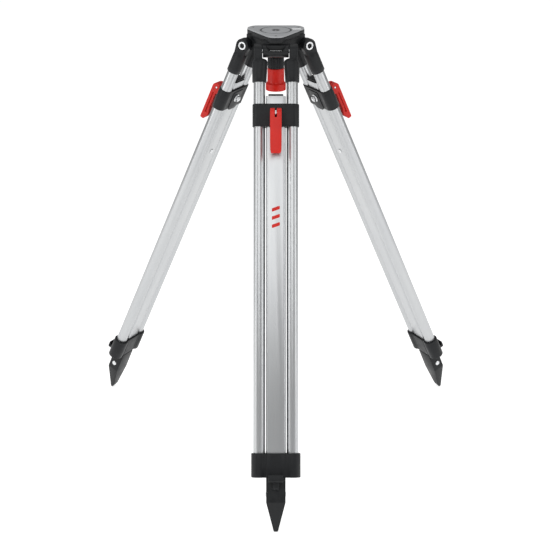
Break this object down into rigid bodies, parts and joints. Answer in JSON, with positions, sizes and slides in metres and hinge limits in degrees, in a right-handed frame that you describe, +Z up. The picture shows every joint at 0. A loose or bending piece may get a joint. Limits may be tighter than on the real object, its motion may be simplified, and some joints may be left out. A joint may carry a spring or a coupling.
{
  "type": "surveyor tripod",
  "caption": "Surveyor's tripod with a flat head, a central fixing screw and telescopic aluminium legs that lock with quick cam levers and end in pointed feet.",
  "frame": {"origin": "centre of the head's top face, on the fixing screw's axis, where the screw's tip lies flush", "axes": "+Z up along the fixing screw's axis, -Y towards the front leg, +X to the right seen from the front"},
  "size_m": [0.8412, 0.7486, 0.9693],
  "materials": {
    "aluminium": "natural anodised extrusion",
    "head_metal": "grey satin coated top face",
    "head_black": "black fine-textured casting",
    "black_plastic": "black fine-textured moulding",
    "foot_black": "black coated cast shoe",
    "red_plastic": "satin red moulding",
    "steel": "zinc plated",
    "screw_steel": "blackened steel",
    "label_grey": "blank light grey plate"
  },
  "bodies": {
    "head": {"head_body": "head_black", "top_plate": "head_metal", "centre_insert": "head_metal", "blank_label": "label_grey"},
    "screw_slider": {"retaining_ring": "steel"},
    "fixing_screw": {"fixing_screw": "screw_steel", "knob_collar": "black_plastic", "knob": "red_plastic"},
    "upper_leg_front": {"tube_a_front": "aluminium", "tube_b_front": "aluminium", "cap_a_front": "black_plastic", "cap_b_front": "black_plastic", "hinge_bolt_front": "steel", "hinge_nut_front": "steel", "guide_front": "black_plastic"},
    "lower_leg_front": {"profile_front": "aluminium", "profile_plug_front": "black_plastic", "stop_rivet_front": "steel", "clamp_body_front": "black_plastic", "clamp_bolt_front": "steel", "clamp_nut_front": "steel", "foot_front": "foot_black", "foot_rivet_front": "steel"},
    "lever_front": {"lever_front": "red_plastic", "lever_pin_front": "steel"},
    "upper_leg_right": {"tube_a_right": "aluminium", "tube_b_right": "aluminium", "cap_a_right": "black_plastic", "cap_b_right": "black_plastic", "hinge_bolt_right": "steel", "hinge_nut_right": "steel", "guide_right": "black_plastic"},
    "lower_leg_right": {"profile_right": "aluminium", "profile_plug_right": "black_plastic", "stop_rivet_right": "steel", "clamp_body_right": "black_plastic", "clamp_bolt_right": "steel", "clamp_nut_right": "steel", "foot_right": "foot_black", "foot_rivet_right": "steel"},
    "lever_right": {"lever_right": "red_plastic", "lever_pin_right": "steel"},
    "upper_leg_left": {"tube_a_left": "aluminium", "tube_b_left": "aluminium", "cap_a_left": "black_plastic", "cap_b_left": "black_plastic", "hinge_bolt_left": "steel", "hinge_nut_left": "steel", "guide_left": "black_plastic"},
    "lower_leg_left": {"profile_left": "aluminium", "profile_plug_left": "black_plastic", "stop_rivet_left": "steel", "clamp_body_left": "black_plastic", "clamp_bolt_left": "steel", "clamp_nut_left": "steel", "foot_left": "foot_black", "foot_rivet_left": "steel"},
    "lever_left": {"lever_left": "red_plastic", "lever_pin_left": "steel"}
  },
  "joints": [
    {"name": "fixing_screw_lift", "type": "slide", "parent": "head", "child": "screw_slider", "axis": [0, 0, 1], "range_m": [0, 0.012]},
    {"name": "fixing_screw_turn", "type": "hinge", "parent": "screw_slider", "child": "fixing_screw", "pos_m": [0, 0, -0.06], "axis": [0, 0, 1], "continuous": true},
    {"name": "leg_hinge_front", "type": "hinge", "parent": "head", "child": "upper_leg_front", "pos_m": [0, -0.0586, -0.0329], "axis": [-1, 0, 0], "range_deg": [-24.8, 26]},
    {"name": "leg_extend_front", "type": "slide", "parent": "upper_leg_front", "child": "lower_leg_front", "axis": [0, -0.4195, -0.9078], "range_m": [0, 0.562]},
    {"name": "lever_open_front", "type": "hinge", "parent": "lower_leg_front", "child": "lever_front", "pos_m": [0, -0.14713, -0.14511], "axis": [-1, 0, 0], "range_deg": [0, 110]},
    {"name": "leg_hinge_right", "type": "hinge", "parent": "head", "child": "upper_leg_right", "pos_m": [0.05075, 0.0293, -0.0329], "axis": [0.5, -0.866, 0], "range_deg": [-24.8, 26]},
    {"name": "leg_extend_right", "type": "slide", "parent": "upper_leg_right", "child": "lower_leg_right", "axis": [0.3633, 0.2097, -0.9078], "range_m": [0, 0.562]},
    {"name": "lever_open_right", "type": "hinge", "parent": "lower_leg_right", "child": "lever_right", "pos_m": [0.12742, 0.07357, -0.14511], "axis": [0.5, -0.866, 0], "range_deg": [0, 110]},
    {"name": "leg_hinge_left", "type": "hinge", "parent": "head", "child": "upper_leg_left", "pos_m": [-0.05075, 0.0293, -0.0329], "axis": [0.5, 0.866, 0], "range_deg": [-24.8, 26]},
    {"name": "leg_extend_left", "type": "slide", "parent": "upper_leg_left", "child": "lower_leg_left", "axis": [-0.3633, 0.2097, -0.9078], "range_m": [0, 0.562]},
    {"name": "lever_open_left", "type": "hinge", "parent": "lower_leg_left", "child": "lever_left", "pos_m": [-0.12742, 0.07357, -0.14511], "axis": [0.5, 0.866, 0], "range_deg": [0, 110]}
  ]
}
